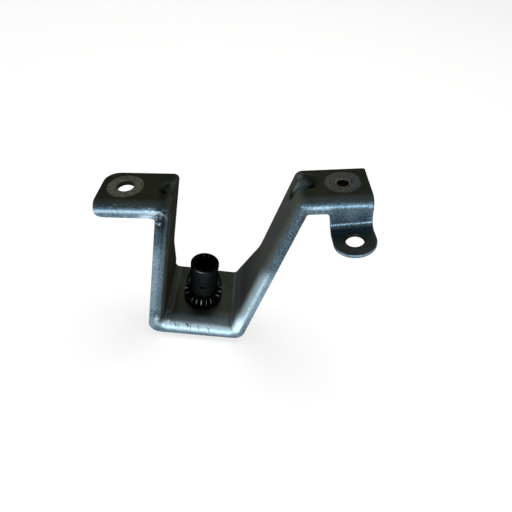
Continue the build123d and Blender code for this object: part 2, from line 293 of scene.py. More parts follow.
# The pads' ends: a little out of square, with rounded corners at the back and below.
from_back = back - grid_y
depth_down = ((top_path[None] - grid_xz) * outward[None]).sum(axis=-1)


def corner_inset(distance, radius):
    """How far a rounded corner has drawn its edge in, at a distance from the other edge."""
    drawn_in = radius - np.sqrt(np.maximum(radius**2 - (radius - distance) ** 2, 0))
    return np.where(distance < radius, drawn_in, 0)


left_draw = corner_inset(from_back, 6.0) + 0.8 * (grid_y - front) / left_pad_depth
left_draw += corner_inset(flange_depths[0, 0] - depth_down, 2.7)
right_draw = corner_inset(from_back, 0.8) + 1.1 * (grid_y - front) / right_pad_depth
grid_xz += (left_draw * np.clip(1 - from_left / 14, 0, 1))[..., None] * ways[0]
grid_xz -= (right_draw * np.clip(1 - from_right / 12, 0, 1))[..., None] * ways[4]

top = np.stack([grid_xz[..., 0], grid_y, grid_xz[..., 1]], axis=-1)
normal = np.stack(
    [np.cos(over) * outward[:, 0], -np.sin(over) + 0 * back, np.cos(over) * outward[:, 1]], axis=-1
)
stations = np.concatenate([[0.0], np.cumsum(np.linalg.norm(np.diff(top_path, axis=0), axis=1))])
past_fold = fold_radius * over + 0 * back
past_fold[:flat_rows] = front + fold_radius - flat_y
past_fold[-flange_rows:] += down * np.linalg.norm(flange_drop, axis=1)
points, normals, places_along, places_past, quads = [], [], [], [], []
tab_mark = 20.0


def add_points(where, facing, along, past):
    """Adds points with their normals, places along the path and lengths past the fold's start.

    Returns the new points' numbers. The tab's points have the tab's mark as their length past the fold.
    """
    first = sum(len(part) for part in points)
    points.append(where.reshape(-1, 3))
    normals.append(np.broadcast_to(facing, where.shape).reshape(-1, 3))
    for values, value in ((places_along, along), (places_past, past)):
        values.append(np.broadcast_to(value, where.shape[:-1]).ravel())
    return first + np.arange(where[..., 0].size).reshape(where.shape[:-1])


def grid_quads(index):
    """The quads of a grid of vertex numbers, as corners in order round each cell."""
    return np.stack([index[:-1, :-1], index[1:, :-1], index[1:, 1:], index[:-1, 1:]], axis=-1)


numbers = add_points(top, normal, stations, past_fold)
cells = grid_quads(numbers)
kept = np.ones(cells.shape[:2], bool)


def add_layers(loop, inner, face_normal, layers, past=None):
    """Rings between a closed loop of vertices and an inner loop: each lies a share of the way across."""
    outer = np.concatenate(points)[loop]
    shares = (np.arange(1, layers + 1) / layers)[:, None, None]
    rings = outer[None] + shares * (inner - outer)[None]
    past = front + fold_radius - rings[..., 1] if past is None else past
    new = add_points(rings, face_normal, np.concatenate(places_along)[loop], past)
    index = np.concatenate([loop[None], new])
    closed = np.concatenate([index, index[:, :1]], axis=1)
    quads.append(grid_quads(closed.T).reshape(-1, 4))


def on_circle(loop_points, centre, radius, across, along):
    """The point of a circle in the direction of each point of a loop, seen from the circle's centre."""
    away = loop_points - centre
    turn = np.arctan2(away @ along, away @ across)[:, None]
    return centre + radius * (np.cos(turn) * across + np.sin(turn) * along)


def cut_hole(centre, radius, across, face_normal, margin, layers, where):
    """Takes a square block of cells out of the grid round a hole, and puts rings in its place."""
    along = np.cross(face_normal, across)
    flat = (top - centre)[:flat_rows]
    inside = (np.abs(flat @ across) < radius + margin) & (np.abs(flat @ along) < radius + margin) & where
    (r0, r1), (c0, c1) = (np.nonzero(inside.any(axis=axis))[0][[0, -1]] for axis in (1, 0))
    kept[r0:r1, c0:c1] = False
    loop = np.concatenate([
        numbers[r0:r1, c0], numbers[r1, c0:c1], numbers[r1:r0:-1, c1], numbers[r0, c1:c0:-1]
    ])
    inner = on_circle(top.reshape(-1, 3)[loop], centre, radius, across, along)
    add_layers(loop, inner, face_normal, layers)


def spread(way):
    """A direction of the path as a direction in space."""
    return np.array([way[0], 0.0, way[1]])


left_up, right_up = np.array([-ways[0, 1], 0, ways[0, 0]]), np.array([-ways[4, 1], 0, ways[4, 0]])
left_hole = spread(left_end + 10.5 * ways[0]) + np.array([0, front + 12.3, 0])
right_hole = spread(right_end - 10.8 * ways[4]) + np.array([0, front + 11.8, 0])
left_hole_radius, right_hole_radius, base_hole_radius, tab_hole_radius, hole_margin = 3.4, 3.25, 5.6, 3.5, 1.6
cut_hole(left_hole, left_hole_radius, spread(ways[0]), left_up, hole_margin, 7, run_of == 0)
cut_hole(right_hole, right_hole_radius, spread(ways[4]), right_up, hole_margin, 7, run_of == 4)
cut_hole(np.zeros(3), base_hole_radius, spread(ways[2]), np.array([0, 0, 1.0]), hole_margin, 5, run_of == 2)
quads.append(cells[kept])

# The strap goes down from the right pad's flange, leaning a little, and bends forward into the round tab.
strap_width, strap_from_end, strap_tilt = 16.4, 0.55, np.radians(3.85)
tab_drop, tab_reach, tab_skew, strap_bend = 12.1, 8.3, 0.45, 1.9
tab_root = strap_bend + sheet
ahead_y = np.array([0.0, -1.0, 0.0])
inward = -np.cos(strap_tilt) * spread(ways[4]) - np.sin(strap_tilt) * right_up
tab_up = np.cos(strap_tilt) * right_up - np.sin(strap_tilt) * spread(ways[4])
tab_corner = spread(right_end - strap_from_end * ways[4]) + np.array([0, front, 0])
across = strap_width * from_right[over_strap] / strap_at_notch
curl = quarter_turn * np.arange(0, 9) / 8
strap_y = np.concatenate([[0.0, 0.0], strap_bend * (1 - np.cos(curl)), [2.6, tab_root]])
strap_z = np.concatenate([[-8.8, -9.5], strap_bend * (1 - np.sin(curl)) - tab_drop, [-tab_drop] * 2])
strap_turn = np.concatenate([[0.0, 0.0], curl, [quarter_turn] * 2])
strap = tab_corner + across[None, :, None] * inward
strap = strap + strap_y[:, None, None] * ahead_y + strap_z[:, None, None] * tab_up
strap_normal = np.cos(strap_turn)[:, None, None] * ahead_y + np.sin(strap_turn)[:, None, None] * tab_up
strap_numbers = add_points(strap, strap_normal, stations[over_strap], (strap_y - strap_z)[:, None])
strap_index = np.concatenate([numbers[-1:, over_strap], strap_numbers])
quads.append(grid_quads(strap_index).reshape(-1, 4))


def touch_angle(spot, middle, radius, side):
    """The angle on a circle at which a line from an outside spot touches it, on one side."""
    away = spot - middle
    return np.arctan2(away[1], away[0]) + side * np.arccos(radius / np.linalg.norm(away))


tab_radius, tab_middle = strap_width / 2, np.array([strap_width / 2 - tab_skew, tab_reach])
near_corner, far_corner = np.array([0.0, tab_root]), np.array([strap_width, tab_root])
start = touch_angle(near_corner, tab_middle, tab_radius, -1) % (2 * np.pi)
arc = np.linspace(start, touch_angle(far_corner, tab_middle, tab_radius, 1), 60)
outline = tab_middle + tab_radius * np.stack([np.cos(arc), np.sin(arc)], axis=1)
corner_share = np.linspace(0, 1, 8)[1:-1, None]
rise = near_corner + corner_share * (outline[0] - near_corner)
fall = outline[-1] + corner_share * (far_corner - outline[-1])
outline = np.concatenate([rise, outline, fall])
outline_points = tab_corner + outline[:, :1] * inward + outline[:, 1:] * ahead_y - tab_drop * tab_up
outline_index = add_points(outline_points, tab_up, stations[-1], tab_mark)
tab_loop = np.concatenate([strap_index[-1], outline_index])[::-1]
tab_centre = tab_corner + tab_middle[0] * inward + tab_middle[1] * ahead_y - tab_drop * tab_up
tab_inner = on_circle(np.concatenate(points)[tab_loop], tab_centre, tab_hole_radius, -inward, -ahead_y)
add_layers(tab_loop, tab_inner, tab_up, 10, tab_mark)

top_points, top_normals = np.concatenate(points), np.concatenate(normals)
top_quads = np.concatenate([part.reshape(-1, 4) for part in quads])


def press_dart(
    places, behind, where, corner, pad_way, wall_way, on_pad, on_wall, y_on_pad, y_on_wall, flare, width
):
    """Presses a gusset dart: heights over the dart's chord are held under a round groove, smoothly.

    The groove's height over the chord is r - sqrt((r + behind)^2 - off^2), where off is the distance in y
    from a line that runs evenly from the dart's end on the pad to its end on the wall. The distance counts
    less behind that line, by the flare. The smooth minimum of heights p and q over a width k is
    q + h (p - q) - k h (1 - h), with h from 0 to 1, and behind the line k grows to twice itself.
    """
    radius, beyond_reach = 4.0, 99.0
    pad_point, wall_point = corner + on_pad * pad_way, corner + on_wall * wall_way
    length = np.linalg.norm(wall_point - pad_point)
    chord = (wall_point - pad_point) / length
    square = np.array([-chord[1], chord[0]])
    square = square * np.sign((corner - pad_point) @ square)
    height = (places[:, [0, 2]] - pad_point) @ square
    run = np.clip((places[:, [0, 2]] - pad_point) @ chord / length, -0.3, 1.3)
    off = places[:, 1] - (y_on_pad + run * (y_on_wall - y_on_pad))
    off = np.where(off > 0, off / flare, off * 1.1)
    reach = radius + behind
    groove = radius - np.sqrt(np.maximum(reach**2 - off**2, 0))
    groove = np.where(np.abs(off) < reach, groove, beyond_reach)
    width = width * (1 + np.clip(off / 3, 0, 1))
    h = np.clip(0.5 + (groove - height) / (2 * width), 0, 1)
    pressed = groove + h * (height - groove) - width * h * (1 - h)
    shift = np.where(where, pressed - height, 0.0)
    return places + shift[:, None] * spread(square), -shift


# Each dart has its bend's corner, the ways along the pad and down the wall, its reach and its place in y on
# each, its flare, and how softly it blends in.
on_left_side, under_points = top_points[:, 0] < 0, top_points - sheet * top_normals
left_press = (left_top, -ways[0], ways[1], 5.8, 6.2, -11.6, -9.0, 1.2, 1.5)
right_press = (right_top, ways[4], -ways[3], 6.6, 10.6, -10.9, -8.6, 1.7, 1.9)
for places, behind in ((under_points, sheet), (top_points, 0.0)):
    places[:], left_dent = press_dart(places, behind, on_left_side, *left_press)
    places[:], right_dent = press_dart(places, behind, ~on_left_side, *right_press)


def ease(value, low, high):
    """Smooth step: 3ss - 2sss, where s runs from 0 at low to 1 at high, and low may be the larger."""
    s = np.clip((value - low) / (high - low), 0, 1)
    return s * s * (3 - 2 * s)


# The rim: the sheet's cut edge all round and in the holes, with its corners broken to a small radius.
quad_edges = np.concatenate([top_quads[:, [k, (k + 1) % 4]] for k in range(4)])
edge_pairs = np.sort(quad_edges, axis=1)
back_to, uses = np.unique(edge_pairs, axis=0, return_inverse=True, return_counts=True)[1:]
rim = quad_edges[uses[back_to.ravel()] == 1]


def vertex_normals(places, faces):
    """Unit normals at the vertices: the sum of the cross products of the faces' diagonals, to length one."""
    a, b, c, d = (places[faces[:, k]] for k in range(4))
    cross = np.cross(c - a, d - b)
    total = np.zeros_like(places)
    for k in range(4):
        np.add.at(total, faces[:, k], cross)
    return total / np.maximum(np.linalg.norm(total, axis=1, keepdims=True), 1e-9)


facing = vertex_normals(top_points, top_quads)
outward_sum = np.zeros_like(top_points)
side = np.cross(top_points[rim[:, 1]] - top_points[rim[:, 0]], facing[rim[:, 0]])
np.add.at(outward_sum, rim[:, 0], side)
np.add.at(outward_sum, rim[:, 1], side)
on_rim = np.unique(rim)
edge_out = outward_sum[on_rim]
edge_out -= (edge_out * facing[on_rim]).sum(axis=1, keepdims=True) * facing[on_rim]
edge_out /= np.linalg.norm(edge_out, axis=1, keepdims=True)
edge_break = 0.22
high, low = top_points[on_rim].copy(), under_points[on_rim].copy()
through = (high - low) / np.linalg.norm(high - low, axis=1, keepdims=True)
steps = np.radians([0, 45, 90])[:, None, None]
upper = high + edge_break * ((np.sin(steps) - 1) * edge_out + (np.cos(steps) - 1) * through)
lower = (low + edge_break * ((np.sin(steps) - 1) * edge_out + (1 - np.cos(steps)) * through))[::-1]
top_points[on_rim], under_points[on_rim] = upper[0], lower[-1]
rim_rows = np.concatenate([upper[1:], lower[:-1]])

# The vertices are the top side's, the underside's and then the rim's rows between them.
total = len(top_points)
rim_number = np.zeros(total, int)
rim_number[on_rim] = np.arange(len(on_rim))
between = [2 * total + k * len(on_rim) + rim_number for k in range(len(rim_rows))]
row_index = [np.arange(total), *between, total + np.arange(total)]
rim_quads = [
    np.stack([a[rim[:, 1]], a[rim[:, 0]], b[rim[:, 0]], b[rim[:, 1]]], axis=1)
    for a, b in zip(row_index[:-1], row_index[1:])
]
all_points = np.concatenate([top_points, under_points, rim_rows.reshape(-1, 3)])
all_quads = np.concatenate([top_quads, total + top_quads[:, ::-1]] + rim_quads)
# The punch drew the left hole's edge down. The drop grows with the depth and the nearness to the hole.
below_pad = (left_hole - all_points) @ left_up
from_hole = np.linalg.norm(all_points - left_hole + below_pad[:, None] * left_up, axis=1)
drawn_down = 0.5 * ease(below_pad, 0.2, 1.4) * ease(from_hole, 5.0, 3.9) * (below_pad < 3)
all_points = all_points - drawn_down[:, None] * left_up


def on_all(values):
    """Values at the top side's points, repeated for the underside and the rim's rows."""
    return np.concatenate([values, values, np.tile(values[on_rim], len(rim_rows))])


x, y, z = all_points.T
along, past = on_all(np.concatenate(places_along)), on_all(np.concatenate(places_past))
left_dent, right_dent = on_all(left_dent), on_all(right_dent)
sides = np.concatenate([np.ones(total), np.zeros(total), np.full(rim_rows[..., 0].size, 0.5)])
bends_at = [stations[run_of == k + 0.5].mean() for k in range(4)]


def after_corner(k, soft):
    """From 0 before a corner of the path to 1 after it, over a width either side of the corner's bisector."""
    bisector = edge_corners[k + 1] - path_corners[k + 1]
    ahead_way = np.array([bisector[1], -bisector[0]]) / np.linalg.norm(bisector)
    ahead_way = ahead_way * np.sign(ahead_way @ (ways[k] + ways[k + 1]))
    beyond = (np.stack([x, z], axis=1) - path_corners[k + 1]) @ ahead_way
    return np.where(np.abs(along - bends_at[k]) < 15, ease(beyond, -soft, soft), along > bends_at[k])


# Where the finish changes: each part of the sheet ends at its corners.
after = [after_corner(k, soft) for k, soft in enumerate((2.5, 1.5, 1.5, 3.0))]
on_left_pad, on_left_wall = 1 - after[0], after[0] * (1 - after[1])
on_base, on_right_wall, on_right_pad = after[1] * (1 - after[2]), after[2] * (1 - after[3]), after[3]
on_legs, on_pads = on_left_wall + on_right_wall, on_left_pad + on_right_pad


def near(value, middle, reach, core):
    """1 within the core's distance of the middle, easing to 0 at the reach."""
    return ease(np.abs(value - middle), reach, core)


# Painted highlights, partly bright scuffs, by the length past the fold's start: the base's front, the legs
# and their feet, the left pad's corner, and the crest of the bend below each pad.
base_profile = np.interp(past, [-5, 0, 1, 2.2, 4.2, 5.4, 6.8], [0, 0.28, 0.4, 0.92, 0.85, 0.6, 0.04])
leg_profile = np.interp(past, [-1, 0, 2, 3.2, 4.4, 5.5, 6.6, 7.2], [0, 0.05, 0.2, 0.42, 0.4, 0.9, 0.35, 0.22])
foot_profile = np.interp(past, [-4, 0, 1, 2, 3, 4, 5, 6, 7], [0.05, 0.2, 0.36, 0.62, 0.85, 1, 1, 0.95, 0.34])
right_foot_highlight = on_right_wall * ease(z, 18, 5) * foot_profile
scuff_and_highlight = np.clip(np.max([
    on_base * base_profile,
    on_right_wall * ease(z, 48, 38) * leg_profile,
    right_foot_highlight,
    0.22 * on_left_wall * ease(z, 56, 42) * ease(past, 5.6, 6.6),
    0.55 * on_left_wall * ease(z, 10, 3) * near(past, 5.7, 1.4, 0.3),
    0.6 * on_left_pad * near(past, 5.9, 0.9, 0.2),
    0.75 * ease(along, 17, 22) * ease(along, 25.6, 24.4) * ease(past, 5.2, 6.2),
    0.48 * near(along, bends_at[3] + 8, 6, 2) * near(past, 5.9, 0.9, 0.2),
], axis=0), 0, 1)
# A painted highlight along the right foot's bend, and painted shade on the right wall's flange near its foot.
crest_light = 1 + 0.6 * right_foot_highlight * ease(past, 6.4, 5.6)
crest_light *= 1 - 0.4 * on_right_wall * ease(z, 12, 4) * ease(past, 6.2, 7.0)

# The share of the flange's bluer tone, over the top side's greyer one. Both are painted light: the
# flange's tone stands in for the pale floor it reflects, the top side's for the dim room.
front_share = on_legs * ease(past, 1.6, 5.6) + on_pads * ease(past, 0.2, 4.6)
front_share += on_base * (0.75 * ease(past, -9, -1) + 0.25 * ease(past, 0, 4))
front_share = np.where(past == tab_mark, 0.25, front_share)

# The walls' inner faces are dull and carry painted shade, and so does the bend at the left one's foot.
# This is where, and how light the painted tone is.
on_top = ease(sides, 0.4, 0.9)
base_bend = near(along, bends_at[1], 3.5, 1.5) * ease(past, -2.5, -6) * on_top
dull_and_shade = on_top * (on_left_wall * ease(past, 3.0, 0.5) + on_right_wall * ease(past, 4.5, 2.5))
dull_and_shade = np.maximum(dull_and_shade * (1 - ease(right_dent, 0.3, 1.2)), 0.9 * base_bend)
wall_light = 0.14 * on_left_wall + on_right_wall * (0.5 + 0.5 * ease(z, 15, 50))
wall_light *= 1 - 0.5 * on_left_wall * ease(past, 1, -2) * ease(z, 48, 36)
wall_light += (0.04 - wall_light) * base_bend

# Painted light and shade. The base in front of the adjuster and to its right is painted lighter. The rest is
# painted darker, each place by a share: the legs' upper flanges and the darts, the pads where their folds
# begin to turn down, the left corner, where the flange turns in shade and stays dark down to the leg, and the
# base's left end and its front.
flange_light = 1 + 0.8 * on_base * ease(x, -9, 4) * ease(past, -9.5, -5) * ease(past, 2, -2)
for share, place in (
    (0.5, on_left_wall * ease(z, 48, 58) * front_share),
    (0.42, on_right_wall * ease(z, 42, 50) * ease(past, 2.5, 4)),
    (0.4, on_right_wall * ease(z, 70, 78) * ease(past, 6, 7)),
    (0.4, ease(left_dent, 0.5, 2.0)),
    (0.3, ease(right_dent, 0.1, 1.6)),
    (0.35, ease(right_dent, 0.05, 0.6) * ease(right_dent, 2.2, 1.0)),
    (0.5, on_pads * near(past, 4.6, 0.9, 0.3)),
    (0.24, on_left_pad * ease(past, 3.4, 1.6)),
    (0.35, on_left_pad * near(past, 4.2, 1.1, 0.5)),
    (0.6, on_left_pad * ease(x, -22, -19) * near(past, 4.9, 0.9, 0.3)),
    (0.15, on_right_pad * ease(past, 3.4, 1.6)),
    (0.2, on_right_pad * ease(past, 5.8, 6.8) * ease(past, 12, 9) * ease(x, 46, 52)),
    (0.16, on_right_pad * ease(past, 9, 10) * (past < 19)),
    (0.4, near(along, bends_at[0], 6.5, 2.5) * ease(past, 5, 2)),
    (0.7, (x < 0) * ease(x, -18.8, -17.8) * ease(past, 3.0, 4.4) * ease(z, 58, 66)),
    (0.35, on_left_wall * near(past, 5.0, 0.9, 0.2) * ease(z, 40, 50)),
    (0.3, on_left_wall * near(past, 3.0, 1.0, 0.2)),
    (0.18, on_base * ease(x, 5, -15) * ease(past, -2, -6)),
    (0.2, on_base * ease(past, -9, -2) * ease(past, 3.5, 1.5)),
):
    flange_light *= 1 - share * place

# The right bowl, the cut edges and the outer side take the bluer painted tone too. The edges carry a little
# painted highlight round the tab, and the outer side has no painted highlights or scuffs.
front_share = np.maximum(front_share, 0.85 * ease(right_dent, 0.3, 5.5))
front_share = np.select([sides == 0.5, sides == 0], [1.0, 0.75], front_share)
scuff_and_highlight = np.maximum(scuff_and_highlight, 0.12 * (sides == 0.5) * on_pads * ease(y, -22.6, -24))
scuff_and_highlight = np.where(sides == 0, 0.0, scuff_and_highlight)

used, compact = np.unique(all_quads, return_inverse=True)


def set_values(mesh, name, values):
    """Gives each point of a mesh a number under a name, for the finish to read."""
    data = mesh.attributes.new(name, "FLOAT", "POINT").data
    data.foreach_set("value", values.astype(np.float32))


bracket_mesh = bpy.data.meshes.new("bracket_skin")
bracket_mesh.from_pydata(all_points[used] * 0.001, [], compact.reshape(-1, 4).tolist())
for name, values in (
    ("front_share", front_share), ("top_side", sides), ("scuff_and_highlight", scuff_and_highlight), ("dull_and_shade", dull_and_shade),
    ("flange_light", flange_light), ("wall_light", wall_light), ("crest_light", crest_light),
):
    set_values(bracket_mesh, name, values[used])
bracket_mesh.polygons.foreach_set("use_smooth", np.ones(len(all_quads), bool))
bracket_mesh.update()
bracket = bpy.data.objects.new("bracket_skin", bracket_mesh)
scene.collection.objects.link(bracket)
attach(bracket, "bracket_body")
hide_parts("bracket")


def step(kind, inputs, **settings):
    """A new node in the tree of its inputs, which are given by number or name, as sockets or plain values."""
    sockets = {key: value for key, value in inputs.items() if isinstance(value, bpy.types.NodeSocket)}
    tree = next(iter(sockets.values())).id_data
    node = add_node(tree, kind, **settings)
    for key, value in inputs.items():
        if key in sockets:
            tree.links.new(value, node.inputs[key])
        else:
            node.inputs[key].default_value = value
    return node


def reckon(operation, *values, clamp=False):
    """The output of a Math node."""
    return step("ShaderNodeMath", dict(enumerate(values)), operation=operation, use_clamp=clamp).outputs[0]


def vector(operation, *values, **more):
    """A Vector Math node."""
    return step("ShaderNodeVectorMath", {**dict(enumerate(values)), **more}, operation=operation)


def eased(value, low, high, start=0.0, end=1.0):
    """The output of a smooth Map Range node from one range of a value to another."""
    numbers = dict(enumerate((value, low, high, start, end)))
    return step("ShaderNodeMapRange", numbers, interpolation_type="SMOOTHSTEP").outputs[0]


def tinted(share, first, second, blend_type="MIX"):
    """A colour mixed from two, each a socket or a colour, by a share that is a socket or a number."""
    first, second = ((*value, 1) if isinstance(value, tuple) else value for value in (first, second))
    inputs = {0: share, 6: first, 7: second}
    return step("ShaderNodeMix", inputs, data_type="RGBA", blend_type=blend_type).outputs[2]


def scaled(tone, gain):
    """A colour times a grey or a colour."""
    return tinted(1.0, tone, gain, "MULTIPLY")


def clouds(where, scale, detail=2.0, roughness=0.5):
    """The grey output of a noise texture over a place."""
    inputs = {"Vector": where, "Scale": scale, "Detail": detail, "Roughness": roughness}
    return step("ShaderNodeTexNoise", inputs).outputs["Fac"]


def distance_to(where, spot):
    """How far a place is from a spot given in millimetres, in millimetres."""
    away = vector("DISTANCE", where, tuple(0.001 * np.array(spot)))
    return reckon("MULTIPLY", away.outputs["Value"], 1000.0)


def attribute(tree, name):
    """A mesh attribute's value."""
    return add_node(tree, "ShaderNodeAttribute", attribute_name=name).outputs["Fac"]


def with_strokes(share, where, strokes):
    """A share, raised to each stroke's strength: whole within half its width of a segment, and fading up to
    its whole width.

    The segment's nearest point is start + t (end - start), where t = (place - start).(end - start) over the
    squared length of end - start, held from 0 to 1.
    """
    for start, end, width, strength in strokes:
        start, way = 0.001 * np.array(start), 0.001 * (np.array(end) - np.array(start))
        from_start = vector("SUBTRACT", where, tuple(start)).outputs[0]
        dot = vector("DOT_PRODUCT", from_start, tuple(way / (way @ way))).outputs["Value"]
        nearest = vector("SCALE", tuple(way), Scale=reckon("MULTIPLY", dot, 1.0, clamp=True)).outputs[0]
        gap = vector("DISTANCE", from_start, nearest).outputs["Value"]
        stroke = eased(gap, 0.001 * width, 0.0005 * width)
        share = reckon("MAXIMUM", share, reckon("MULTIPLY", stroke, strength))
    return share


def add_shader(out, relief, strength, depth, **sockets):
    """Ends a finish with a shader whose sockets are given by name, and a bump of some strength and depth."""
    bump = step("ShaderNodeBump", {"Height": relief, "Strength": strength, "Distance": depth})
    inputs = {name.replace("_", " "): value for name, value in sockets.items()}
    shade = step("ShaderNodeBsdfPrincipled", {**inputs, "Normal": bump.outputs[0]})
    join(out.id_data, (shade.outputs[0], out.inputs[0]))


zinc, tree, out = new_material("zinc_steel_finish")
where = add_node(tree, "ShaderNodeTexCoord").outputs["Object"]
in_front, top_side, scuff_and_highlight_mark, dull_and_shaded, wall_lightness = (
    attribute(tree, name) for name in ("front_share", "top_side", "scuff_and_highlight", "dull_and_shade", "wall_light")
)
grain = clouds(where, 1900, 2.5, 0.6)
patches = clouds(where, 110, 3.0, 0.55)

# The top side's greyer zinc, the flange's bluer one, the pale tone of painted highlights and scuffs, and the
# dark of marks and painted shade.
plain_zinc, blue_zinc, highlight_and_scuff_zinc, mark_and_shade_zinc = (
    (0.118, 0.127, 0.108), (0.12, 0.178, 0.228), (0.5, 0.63, 0.71), (0.03, 0.038, 0.042)
)
tone = tinted(in_front, plain_zinc, blue_zinc)
grain_gain = reckon("ADD", reckon("MULTIPLY", eased(grain, 0.32, 0.68, -0.5, 0.68), in_front), 1.0)
tone = scaled(scaled(tone, grain_gain), eased(patches, 0.3, 0.7, 0.85, 1.12))
tone = scaled(tone, attribute(tree, "flange_light"))
# The walls' painted shade: the left wall, the darker of the two, has a browner cast.
lighter_wall_grey, darker_wall_brown = (0.06, 0.063, 0.06), (0.07, 0.066, 0.042)
wall_shade_tone = scaled(tinted(eased(wall_lightness, 0.35, 0.2), lighter_wall_grey, darker_wall_brown), wall_lightness)
tone = tinted(reckon("MULTIPLY", dull_and_shaded, 0.85), tone, wall_shade_tone)

# The sheet puckered where the left pad's fold meets the leg's. Painted highlights there: specks, and bright
# spots with ragged edges, each with its reach and strength. More painted highlight spots lie at the left
# foot, and two small flecks on the pad.
scuff_and_highlight_noise = eased(grain, 0.25, 0.65, 0.6, 1.12)
specks = eased(clouds(where, 2300, 1.0), 0.54, 0.64)
uneven = reckon("MULTIPLY", reckon("SUBTRACT", clouds(where, 1100, 2.0), 0.5), 3.2)
around_corner = eased(distance_to(where, [-20.8, -22.5, 70.3]), 3.8, 2.0)
speckled_highlights = reckon("MULTIPLY", around_corner, specks)
highlight_spots = [
    ([-17.7, -22.5, 66.2], 1.0, 0.95), ([-16.0, -22.4, 71.2], 0.9, 0.5), ([-22.4, -22.5, 69.6], 0.8, 0.7),
    ([-20.8, -22.5, 71.1], 0.9, 0.7), ([-20.6, -22.4, 3.6], 1.4, 0.85), ([-16.7, -20.8, -0.2], 1.0, 0.5),
    ([-14.6, -7.0, 73.4], 2.0, 0.05),
]
for spot, reach, strength in highlight_spots:
    spot_away = reckon("ADD", distance_to(where, spot), uneven)
    speckled_highlights = reckon("MAXIMUM", speckled_highlights, eased(spot_away, reach, 0.2 * reach, 0.0, strength))
for fleck in ([-36.2, -21.8, 71.5], [-34.5, -21.2, 72.3]):
    speckled_highlights = reckon("MAXIMUM", speckled_highlights, eased(distance_to(where, fleck), 0.35, 0.1, 0.0, 0.5))
scuff_and_highlight_share = reckon("MAXIMUM", reckon("MULTIPLY", scuff_and_highlight_mark, scuff_and_highlight_noise, clamp=True), speckled_highlights)
# Painted highlight strokes: the arc round the left inner corner, the base's left end, and the right bowl's
# glint. Each has its two ends, its width and its strength.
scuff_and_highlight_share = with_strokes(scuff_and_highlight_share, where, [
    ([-16.9, -22.5, 69.4], [-16.0, -22.4, 71.2], 0.7, 0.14),
    ([-16.0, -22.4, 71.2], [-14.8, -21.9, 70.2], 0.7, 0.17),
    ([-14.8, -21.9, 70.2], [-14.6, -21.7, 68.4], 0.7, 0.13),
    ([-15.1, -19.8, -0.2], [-15.0, -22.1, -2.3], 0.9, 0.95),
    ([35.0, -5.6, 78.4], [36.5, -5.2, 81.0], 1.2, 0.11),
])
tone = tinted(scuff_and_highlight_share, tone, highlight_and_scuff_zinc)
tone = scaled(tone, attribute(tree, "crest_light"))

# Dark ticks where the base's fold was struck and specks at the left foot are marks. The rest is painted
# shade:
# creases at the base's corners, a pit below the left pad's corner, a line under its bright fold, the right
# bowl's crease and slit, and the left bowl's edge.
dark_specks = eased(clouds(where, 1300, 2.0), 0.46, 0.56)
foot_away = distance_to(where, [-21.8, -22.5, 8.0])
marks_and_shade = with_strokes(reckon("MULTIPLY", eased(foot_away, 4.0, 2.0), dark_specks), where, [
    ([-11.8, -20.6, -0.6], [-10.9, -21.8, -2.0], 0.4, 0.8),
    ([-10.3, -20.8, -0.8], [-9.6, -22.0, -2.2], 0.35, 0.7),
    ([-6.2, -20.4, -0.5], [-4.9, -21.3, -1.2], 0.45, 0.9),
    ([-4.9, -21.3, -1.2], [-5.2, -20.2, -0.4], 0.35, 0.8),
    ([-3.9, -20.9, -0.8], [-3.6, -22.1, -2.4], 0.4, 0.8),
    ([-0.2, -20.6, -0.6], [0.6, -22.1, -2.3], 0.4, 0.75),
    ([5.0, -21.3, -1.2], [5.9, -22.2, -2.5], 0.4, 0.8),
    ([-17.4, -20.3, -0.4], [-15.9, -21.8, -1.8], 0.5, 0.6),
    ([16.4, -19.2, 0.6], [19.4, -22.4, -1.0], 0.8, 0.45),
    ([-18.2, -22.5, 64.9], [-17.9, -22.5, 63.9], 0.7, 0.9),
    ([-24.0, -22.5, 70.6], [-18.8, -22.5, 70.1], 0.3, 0.5),
    ([34.2, -7.6, 76.3], [37.6, -7.9, 81.4], 0.9, 0.3),
    ([38.0, -8.2, 82.2], [41.0, -11.0, 85.4], 0.9, 0.7),
    ([-18.0, -12.0, 74.9], [-15.6, -10.1, 72.7], 1.6, 0.8),
])
marks_and_shade = reckon("MULTIPLY", marks_and_shade, eased(grain, 0.3, 0.55, 0.45, 0.95))
tone = tinted(marks_and_shade, tone, mark_and_shade_zinc)
scuff_and_highlight_share = reckon("MULTIPLY", scuff_and_highlight_share, reckon("SUBTRACT", 1.0, marks_and_shade))

# A bolt's head has worn a ring round each pad's hole, brown and stained on the left, dark on the right.
left_away, right_away, tab_away = (distance_to(where, hole) for hole in (left_hole, right_hole, tab_centre))
ring_edge = reckon("MULTIPLY", reckon("SUBTRACT", clouds(where, 420, 2.0), 0.5), 1.1)
left_ring = eased(reckon("ADD", left_away, ring_edge), 7.55, 7.1)
right_ring = eased(reckon("ADD", right_away, ring_edge), 7.1, 6.6)
ring_mottle = eased(clouds(where, 700, 3.0, 0.6), 0.3, 0.7)
stained = eased(clouds(where, 120, 2.0), 0.35, 0.65)
left_ring_tone = tinted(stained, (0.06, 0.058, 0.041), (0.049, 0.054, 0.047))
left_ring_tone = scaled(left_ring_tone, eased(ring_mottle, 0.0, 1.0, 0.68, 1.25))
right_ring_tone = tinted(ring_mottle, (0.022, 0.025, 0.024), (0.044, 0.048, 0.048))
tone = tinted(reckon("MULTIPLY", left_ring, 0.94), tone, left_ring_tone)
tone = tinted(reckon("MULTIPLY", right_ring, 0.94), tone, right_ring_tone)
ring_share = reckon("MAXIMUM", left_ring, right_ring)

# Painted shade on the holes' walls and the underside round them.
near_hole = reckon("MINIMUM", reckon("MINIMUM", left_away, tab_away), right_away)
hole_wall = reckon("MULTIPLY", eased(near_hole, 4.05, 3.7), eased(top_side, 0.98, 0.8))
tone = tinted(hole_wall, tone, (0.028, 0.028, 0.024))

